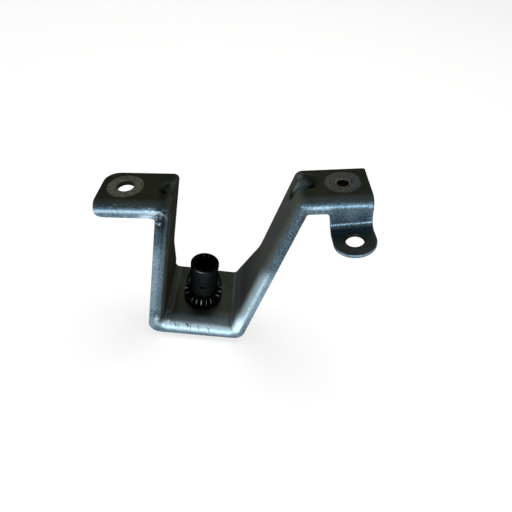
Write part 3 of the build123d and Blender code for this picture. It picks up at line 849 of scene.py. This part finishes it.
# Scuffs with painted highlights, rings, and dull places with painted shade are less metallic and rougher.
matt_share = reckon("MAXIMUM", reckon("MULTIPLY", scuff_and_highlight_share, 0.55), reckon("MULTIPLY", ring_share, 0.75))
matt_share = reckon("MAXIMUM", matt_share, reckon("MULTIPLY", dull_and_shaded, 0.85))
rough = reckon("ADD", eased(in_front, 0.5, 1.0, 0.29, 0.4), reckon("MULTIPLY", matt_share, 0.25))
relief = reckon("ADD", reckon("MULTIPLY", grain, 0.7), reckon("MULTIPLY", clouds(where, 5200, 1.0), 0.3))
add_shader(
    out, relief, 0.35, 0.00006, Base_Color=tone, Metallic=reckon("SUBTRACT", 1.0, matt_share),
    Roughness=rough, Specular_IOR_Level=0.0, Specular_Tint=(0.1, 0.1, 0.1, 1),
)
bracket_mesh.materials.append(zinc)

# The weld nut
# A hexagonal steel nut with a pilot that fills the right pad's hole, flush with its top. Its thread takes the
# bolt, and rust has spread over the pilot's ring.


def rounded_loop(corners, radius, cell):
    """A closed loop of corners, each rounded by a parabola between points a radius away on its two sides.

    The parabola is (1 - t)^2 a + 2 t (1 - t) c + t^2 b, and the straight stretches are divided into cells.
    """
    corners = np.array(corners, float)
    ahead_side, behind_side = np.roll(corners, -1, axis=0) - corners, np.roll(corners, 1, axis=0) - corners
    ahead_length, behind_length = np.linalg.norm(ahead_side, axis=1), np.linalg.norm(behind_side, axis=1)
    cut = np.minimum(radius, 0.45 * np.minimum(ahead_length, behind_length))[:, None]
    a = corners + cut * behind_side / behind_length[:, None]
    b = corners + cut * ahead_side / ahead_length[:, None]
    t = np.linspace(0, 1, 5)[None, :, None]
    loop = ((1 - t) ** 2 * a[:, None] + 2 * t * (1 - t) * corners[:, None] + t**2 * b[:, None]).reshape(-1, 2)
    loop = np.concatenate([loop, loop[:1]])
    length = np.concatenate([[0], np.cumsum(np.linalg.norm(np.diff(loop, axis=0), axis=1))])
    stops = np.concatenate([length[:-1], np.arange(0, length[-1], cell)])
    stops = np.unique(stops.round(2))
    stops = stops[stops < length[-1] - 0.02]
    return np.stack([np.interp(stops, length, loop[:, k]) for k in (0, 1)], axis=1)


def turned_grid(loop, turns):
    """A section loop's radii and heights and the turns' angles, as three grids of the same shape."""
    return np.broadcast_arrays(loop[None, :, 0], loop[None, :, 1], turns[:, None])


def full_turn(count):
    """Evenly spaced angles round a full turn, with its end left out."""
    return np.linspace(0, 2 * np.pi, count, endpoint=False)


def closed_piece(name, grids, body, node, finish):
    """One piece made of closed surfaces, each a grid that wraps round its section loop.

    A grid that spans a full turn wraps that way too. Any other is closed by a fan of triangles at each end,
    to the mean of its end loop. Faces are turned so that the signed volume of each surface is positive.
    Each grid comes with its share of painted glint and of painted shade at each point, from 0 to 1.
    """
    vertices, faces, marks, start = [], [], {"painted_glint": [], "shaded": []}, 0
    for grid, wraps, *mark_values in grids:
        flat, count = grid.reshape(-1, 3), grid.shape[1]
        index = np.arange(len(flat)).reshape(grid.shape[:2])
        index = np.concatenate([index, index[:, :1]], axis=1)
        if wraps:
            index = np.concatenate([index, index[:1]])
            fans = np.zeros((0, 3), int)
        else:
            hubs = np.full((2, count), len(flat)) + np.array([[0], [1]])
            ends = index[[0, -1]]
            fans = np.stack([hubs, ends[:, 1:], ends[:, :-1]], axis=-1)
            fans[1] = fans[1, :, ::-1]
            fans = fans.reshape(-1, 3)
            flat = np.concatenate([flat, grid[[0, -1]].mean(axis=1)])
        for parts, value in zip(marks.values(), mark_values):
            parts.append(np.broadcast_to(value, grid.shape[:2]).ravel())
            parts.append(np.zeros(0 if wraps else 2))
        shell = grid_quads(index).reshape(-1, 4)
        a, b, c, d = (flat[shell[:, k]] for k in range(4))
        volume = (np.cross(c - a, d - b) * (a + b + c + d)).sum()
        order = slice(None) if volume > 0 else slice(None, None, -1)
        faces += (start + shell[:, order]).tolist() + (start + fans[:, order]).tolist()
        vertices.append(flat)
        start += len(flat)
    mesh = bpy.data.meshes.new(name)
    mesh.from_pydata(np.concatenate(vertices) * 0.001, [], faces)
    for mark, parts in marks.items():
        set_values(mesh, mark, np.concatenate(parts))
    mesh.polygons.foreach_set("use_smooth", np.ones(len(faces), bool))
    mesh.materials.append(finish)
    mesh.update()
    piece = bpy.data.objects.new(name, mesh)
    scene.collection.objects.link(piece)
    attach(piece, body)
    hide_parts(node)


nut_apothem, nut_height, pilot_radius, thread_radius, nut_chamfer = 5.0, 5.0, 3.2, 2.4, 0.5
nut_loop = rounded_loop([
    (thread_radius + nut_chamfer, sheet), (pilot_radius, sheet), (pilot_radius, 0), (nut_apothem, 0),
    (nut_apothem, -nut_height), (thread_radius + nut_chamfer, -nut_height),
    (thread_radius, nut_chamfer - nut_height), (thread_radius, sheet - nut_chamfer),
], 0.2, 0.11)
radius, height, turn = turned_grid(nut_loop, full_turn(144))
# The hexagon's flats, with its corners rounded, and more so at the nut's two faces.
from_flat = (turn + np.pi / 6) % (np.pi / 3) - np.pi / 6
face_edge = np.minimum(-height, height + nut_height)
hexagon = np.minimum(nut_apothem / np.cos(from_flat), 5.15 + 0.45 * ease(face_edge, 0, 0.6))
hexagon_from = 3.6
spread_out = (hexagon - nut_apothem) * (radius - hexagon_from) / (nut_apothem - hexagon_from)
radius = np.where(radius > hexagon_from, radius + spread_out, radius)
# The thread's grooves are 0.4 mm deep and a millimetre apart, and climb with the turn.
groove = np.abs(((height - turn / (2 * np.pi)) % 1) - 0.5) * 2
in_bore = ease(height, sheet, sheet - 0.6) * ease(height, -nut_height, 0.6 - nut_height)
in_bore = in_bore * ease(radius, 2.65, 2.5)
radius = radius + 0.4 * in_bore * ease(groove, 0.2, 0.95)
nut_seat = right_hole - sheet * right_up
across_pad = spread(ways[4])
nut_grid = nut_seat + radius[..., None] * (
    np.cos(turn)[..., None] * across_pad + np.sin(turn)[..., None] * np.cross(right_up, across_pad)
) + height[..., None] * right_up

nut_finish, tree, out = new_material("nut_steel_finish")
where = add_node(tree, "ShaderNodeTexCoord").outputs["Object"]
from_axis = distance_to(where, right_hole)
rust_noise, nut_grain = clouds(where, 900, 3.0, 0.6), clouds(where, 2600, 2.0)
bare = tinted(eased(nut_grain, 0.35, 0.65), (0.095, 0.09, 0.078), (0.15, 0.145, 0.13))
rust = tinted(eased(nut_grain, 0.3, 0.7), (0.018, 0.013, 0.008), (0.075, 0.058, 0.038))
rusted = reckon("MAXIMUM", eased(rust_noise, 0.5, 0.7), eased(from_axis, 2.75, 3.0))
tone = tinted(rusted, bare, rust)
# The bore is painted dark below its mouth, as shade.
tone = tinted(eased(attribute(tree, "shaded"), 0.0, 1.0), tone, (0.006, 0.0055, 0.005))
add_shader(
    out, rust_noise, 0.5, 0.0001, Base_Color=tone, Metallic=eased(rusted, 0, 1, 0.55, 0.05),
    Roughness=eased(rusted, 0, 1, 0.42, 0.7), Specular_IOR_Level=0.2,
)
# Painted shade in the bore, from within the pad's thickness down.
in_depth = ease(height, 0.95, 0.45) * ease(radius, 3.1, 2.9)
closed_piece(
    "weld_nut_steel", [(nut_grid, True, 0.0, in_depth)], "bracket_body", "weld_nut", nut_finish
)

# The clip nut
# A moulded black nut pushed through the base's hole from above. Its flange and front lug lie on the sheet,
# four barbed fingers hold below it, and a lipped collar keeps the knurled ring.


def moulding_finish(name, light, roughness, speckle):
    """Satin black moulding: a near-black teal, a weak gloss, and a fine eroded grain in its bump and gloss.

    Places with painted glints are a pale grey. Places with painted shade are black, and the metallic
    share takes their gloss.
    """
    material, tree, out = new_material(name)
    where = add_node(tree, "ShaderNodeTexCoord").outputs["Object"]
    fine, broad = clouds(where, 2600, 3.0, 0.6), clouds(where, 420, 2.0)
    tone = tinted(eased(broad, 0.35, 0.65), (0.003, 0.0045, 0.0048), (0.0065, 0.009, 0.0093))
    tone = scaled(tone, (light, light, light))
    speck = reckon("MULTIPLY", eased(fine, 0.64, 0.78), speckle)
    tone = tinted(speck, tone, (0.04, 0.047, 0.046))
    tone = tinted(attribute(tree, "shaded"), tone, (0.0012, 0.0012, 0.0012))
    tone = tinted(attribute(tree, "painted_glint"), tone, (0.3, 0.32, 0.335))
    rough = reckon("ADD", eased(broad, 0.3, 0.7, -0.05, 0.06), roughness)
    add_shader(
        out, fine, 0.3, 0.00005, Base_Color=tone, Metallic=attribute(tree, "shaded"), Roughness=rough,
        Specular_IOR_Level=0.12 * light,
    )
    return material


def from_turns(radius, height, turn):
    """Points in space from a radius, a height and an angle about the adjuster's axis."""
    return np.stack([radius * np.cos(turn), radius * np.sin(turn), height], axis=-1)


def wedge(loop, middle, half_angle, rounding, rows):
    """A section loop swept over part of a turn, drawn in by a quarter circle at both ends.

    At an angle a of that quarter the section lies rounding (1 - cos a) past the end, and is drawn in along
    its own normals by rounding (1 - sin a).
    """
    tangent = np.roll(loop, -1, axis=0) - np.roll(loop, 1, axis=0)
    inward = np.stack([-tangent[:, 1], tangent[:, 0]], axis=1)
    inward = inward / np.linalg.norm(inward, axis=1, keepdims=True)
    area = (loop[:, 0] * np.roll(loop[:, 1], -1) - np.roll(loop[:, 0], -1) * loop[:, 1]).sum()
    inward = inward * np.sign(area)
    quarter = np.radians([0, 30, 60])
    mean_radius = loop[:, 0].mean()
    start = -half_angle + rounding * (1 - np.cos(quarter)) / mean_radius
    body = np.linspace(-half_angle + rounding / mean_radius, half_angle - rounding / mean_radius, rows)
    turn = middle + np.concatenate([start, body, -start[::-1]])
    end_draw = rounding * (1 - np.sin(quarter))
    draw = np.concatenate([end_draw, 0 * body, end_draw[::-1]])
    section = loop[None] + draw[:, None, None] * inward[None]
    return section[..., 0], section[..., 1], turn[:, None] + 0 * section[..., 0]


clip_bore, collar_radius, flange_radius, flange_height, lug_half_width = 4.55, 5.6, 8.5, 0.9, 3.7
clip_loop = rounded_loop([
    (clip_bore, 3.0), (5.78, 3.0), (5.95, 2.65), (collar_radius, 2.3), (collar_radius, flange_height),
    (flange_radius, flange_height), (flange_radius, 0.0), (5.5, 0.0), (5.5, -1.6), (6.6, -1.6), (6.24, -3.5),
    (clip_bore, -3.5),
], 0.2, 0.35)
lug_outline = rounded_loop([
    (-lug_half_width, -2), (-lug_half_width, -10.9), (lug_half_width, -10.9), (lug_half_width, -2)
], 1.2, 0.2)
lug_turn, lug_radius = np.arctan2(lug_outline[:, 1], lug_outline[:, 0]), np.linalg.norm(lug_outline, axis=1)
in_order = np.argsort(lug_turn)
# The turns are closer together at the lug's two sides.
lug_sides = np.radians(np.concatenate([np.arange(-80, -60, 0.5), np.arange(-119.5, -99.5, 0.5)]))
clip_turns = np.unique(np.concatenate([full_turn(120), lug_sides % (2 * np.pi)]).round(4))
radius, height, turn = turned_grid(clip_loop, clip_turns)
wrapped = np.arctan2(np.sin(turn), np.cos(turn))
lug_reach = np.interp(wrapped, lug_turn[in_order], lug_radius[in_order], left=0, right=0)
lug_reach = np.where(wrapped < 0, np.maximum(lug_reach - flange_radius, 0), 0)
on_flange = (height > -0.01) & (height < flange_height + 0.05) & (radius > collar_radius)
flange_share = (radius - collar_radius) / (flange_radius - collar_radius)
radius = radius + np.where(on_flange, lug_reach * flange_share, 0)
finger_loop = rounded_loop([(clip_bore, -3.2), (6.27, -3.2), (5.2, -9.0), (clip_bore, -9.0)], 0.2, 0.5)
finger_half_angle, finger_middles = np.radians(36.5), np.radians([45, 135, 225, 315])
fingers = [
    (from_turns(*wedge(finger_loop, middle, finger_half_angle, 0.2, 16)), False, 0.0, 0.0)
    for middle in finger_middles
]
black_moulding = moulding_finish("black_moulding_finish", 0.9, 0.42, 0.25)
closed_piece(
    "clip_nut_moulding", [(from_turns(radius, height, turn), True, 0.0, 0.85)] + fingers, "bracket_body",
    "clip_nut", black_moulding,
)

# The knurled ring
# A moulded black thumb ring on the clip nut's flange. Ribs with sloped ends give the fingers their grip, and
# two wings rise beside the sleeve, where a key on each turns it.


def wave(value, width, soft):
    """A bump that is 1 within half the width of nought and falls smoothly to 0 over the soft edge."""
    return ease(np.abs(value), width / 2 + soft, width / 2)


ring_foot, ring_top, ring_radius, hub_radius, rib_count = 1.05, 4.65, 9.9, 7.6, 22
bore_radius, lip_radius, wing_top, wing_middles = 6.25, 5.75, 17.25, np.radians([37.0, 143.0])
floor_top, rib_slope, side_slope = ring_foot + 0.9, 1.1, 0.25
# One line goes up a rib's end and over its top, and one over the gap's floor and up the hub, in step.
shares, line_stops = np.linspace(0, 1, 26), [0, 0.55, 1]
rib_way = np.array([[ring_radius, floor_top], [ring_radius - rib_slope, ring_top], [hub_radius, ring_top]])
gap_way = np.array([[ring_radius, floor_top], [hub_radius, floor_top], [hub_radius, ring_top]])
rib_line, gap_line = (
    np.stack([np.interp(shares, line_stops, way[:, k]) for k in (0, 1)], axis=1)
    for way in (rib_way, gap_way)
)
# Corners are softened by a moving mean along each line.
for line in (rib_line, gap_line):
    line[1:-1] = (line[:-2] + 2 * line[1:-1] + line[2:]) / 4
rest = np.array([
    [7.2, ring_top], [6.6, ring_top], [6.35, ring_top], [bore_radius, ring_top - 0.1], [bore_radius, 3.4],
    [bore_radius, 2.15], [6.0, 2.15], [lip_radius, 2.15], [lip_radius, 1.6], [lip_radius, ring_foot],
    [7.0, ring_foot], [8.4, ring_foot], [ring_radius - 0.15, ring_foot], [ring_radius, ring_foot + 0.15],
    [ring_radius, 1.5],
])
turns = full_turn(rib_count * 24)[:, None]
rib_phase, rib_pitch, side_rib_y, rib_middle_radius = np.radians(180 / rib_count), 2.83, -0.8, 9.3
rib_width, rib_soft = 0.35, 0.62
# In front and behind the ribs point at the axis, and at the two sides they lie side by side, all along X.
row_radius = np.concatenate([(rib_line[:, 0] + gap_line[:, 0]) / 2, rest[:, 0]])
off_round = np.angle(np.exp(1j * rib_count * (turns - rib_phase))) / rib_count * rib_middle_radius
off_side = (np.sin(turns) * row_radius - side_rib_y + rib_pitch / 2) % rib_pitch - rib_pitch / 2
at_side = ease(np.abs(np.sin(turns)), 0.8, 0.7)
on_rib = at_side * wave(off_side, rib_width, rib_soft) + (1 - at_side) * wave(off_round, rib_width, rib_soft)
on_rib = on_rib[:, :len(rib_line), None]
# How bright the painted glint on each rib's crest is, by its angle: in front they catch the light unevenly.
rib_glint = np.interp(
    np.degrees(turns), [0, 14, 24, 155, 168, 182, 197, 212, 230, 241, 254, 270, 286, 303, 320, 338, 360],
    [0.9, 0.9, 0.15, 0.1, 0.45, 0.95, 1.0, 0.08, 0.08, 0.32, 0.42, 0.68, 0.2, 0.36, 0.5, 0.8, 0.9],
)
# The side ribs' ends are steeper, so their tops reach further out.
steeper = (rib_slope - side_slope) * np.interp(shares, line_stops, [0, 1, 0]) * at_side
ribs = rib_line[None] + np.stack([steeper, 0 * steeper], axis=2)
profile = on_rib * ribs + (1 - on_rib) * gap_line[None]
rest_all = np.broadcast_to(rest[None], (len(turns),) + rest.shape)
section = np.concatenate([profile, rest_all], axis=1)
ring_grid = from_turns(section[..., 0], section[..., 1], turns)
wing_loop = rounded_loop([
    (bore_radius, 3.55), (7.6, 3.55), (9.8, ring_top), (9.7, 7.3), (9.2, 10.0), (8.3, 13.2), (7.1, wing_top),
    (bore_radius, wing_top),
], 0.3, 0.5)
wing_grids = []
for middle in wing_middles:
    radius, height, turn = wedge(wing_loop, middle, np.radians(23.0), 0.3, 44)
    key = wave((turn - middle) * bore_radius, 1.8, 0.15) * ease(height, ring_top, 5.0)
    radius = radius - 0.7 * key * ease(radius, 6.5, 6.3)
    wing_grids.append((from_turns(radius, height, turn), False, 0.0, 0.0))
off_rib = np.where(at_side > 0.5, off_side, off_round)
# The ribs' crests carry painted glints. Painted shade lies over the whole ring, and fully in the gaps between
# its ribs.
crest = wave(off_rib, 0.12, 0.26) * rib_glint * wave(section[..., 0] - 8.9, 1.5, 0.3)
crest = crest * ease(section[..., 1], 2.4 + 1.3 * at_side, 3.0 + 1.3 * at_side)
between = np.maximum(0.55, (1 - wave(off_rib, 0.35, 0.3)) * ease(section[..., 0], 7.3, 7.8))
closed_piece(
    "knurled_ring_moulding", [(ring_grid, True, crest, between)] + wing_grids, "ring_body", "knurled_ring",
    black_moulding,
)

# The adjuster sleeve
# A moulded black sleeve that carries the fender's screw. The coarse thread below its wall climbs in the clip
# nut, and a splined socket in its rim takes the key that sets its height.

sleeve_radius, sleeve_foot, shank_radius, rim_radius, rim_top = 6.1, 4.4, 4.5, 7.1, 24.0
socket_radius, socket_floor, screw_radius, spline_count = 4.8, 16.0, 3.25, 12
window_middle, window_turn, keyway_floor = 11.5, np.radians(-93.0), 5.25
sleeve_loop = rounded_loop([
    (screw_radius, -8.0), (shank_radius, -8.0), (shank_radius, sleeve_foot), (sleeve_radius, sleeve_foot),
    (sleeve_radius, 21.0), (rim_radius, 21.0), (rim_radius, rim_top), (5.9, rim_top), (socket_radius, 22.0),
    (socket_radius, socket_floor), (screw_radius, socket_floor),
], 0.35, 0.21)
radius, height, turn = turned_grid(sleeve_loop, full_turn(216))
# The thread climbs 4 mm a turn with two starts, half a millimetre deep, its crests at the shank's radius.
climb = np.abs(((height / 2 - turn / np.pi) % 1) - 0.5) * 2
on_thread = (np.abs(radius - shank_radius) < 0.15) & (height < sleeve_foot - 0.5)
radius = np.where(on_thread, radius - 0.45 * ease(climb, 0.35, 0.75) * ease(height, 3.9, 3.2), radius)
# The socket's splines are round grooves that run out in the flared mouth.
off_spline = np.angle(np.exp(1j * spline_count * turn)) / spline_count * socket_radius
spline = socket_radius + np.sqrt(np.maximum(0.36 - off_spline**2, 0))
in_socket = (height > socket_floor + 0.3) & (radius < 5.95) & (radius > socket_radius - 0.05)
radius = np.where(in_socket, np.maximum(radius, spline), radius)
# The keyways beside the wings, and the small window in front.
on_wall = (height > sleeve_foot + 0.2) & (height < 20.8) & (radius > 6.0) & (radius < 6.2)
turn_from = [
    np.angle(np.exp(1j * (turn - middle))) * sleeve_radius for middle in (*wing_middles, window_turn)
]
keyways = np.maximum(wave(turn_from[0], 2.2, 0.12), wave(turn_from[1], 2.2, 0.12))
window = wave(turn_from[2], 1.9, 0.15) * wave(height - window_middle, 0.9, 0.15)
window_shade = wave(turn_from[2], 2.1, 0.1) * wave(height - window_middle, 1.5, 0.15)
in_keyway = (height > sleeve_foot - 0.05) & (height < 20.8) & (radius > keyway_floor) & (radius < 6.2)
radius = np.where(in_keyway, radius - keyways * (radius - keyway_floor), radius)
radius = np.where(on_wall, radius - 0.8 * window, radius)
# The rim's top, the socket and the window's recess are painted black as shade. A painted highlight arc on the
# rim's front edge, specks on the splines and a faint line under the rim catch the light.
on_rim_top = 0.95 * ease(height, 23.6, 23.9) * ease(radius, 7.12, 6.98)
shaded = np.maximum(on_rim_top, (radius < 5.95) & (height > 15))
shaded = np.maximum(shaded, on_wall * window_shade)
lip_arc = 0.7 * np.interp(np.degrees(turn), [225, 238, 250, 260, 272, 300], [0, 0.3, 1, 1, 0.25, 0])
painted_glint = lip_arc * wave(height - 23.85, 0.2, 0.15) * ease(radius, 6.6, 6.8)
painted_glint = np.maximum(painted_glint, 0.05 * in_socket * ease(np.abs(off_spline), 0.75, 1.1) * ease(height, 19, 23))
painted_glint = np.maximum(painted_glint, 0.1 * wave(height - 21.1, 0.2, 0.2) * ease(radius, 6.8, 7.0))
sleeve_moulding = moulding_finish("sleeve_moulding_finish", 0.75, 0.45, 0.6)
closed_piece(
    "sleeve_moulding", [(from_turns(radius, height, turn), True, painted_glint, shaded)], "sleeve_body",
    "adjuster_sleeve", sleeve_moulding,
)
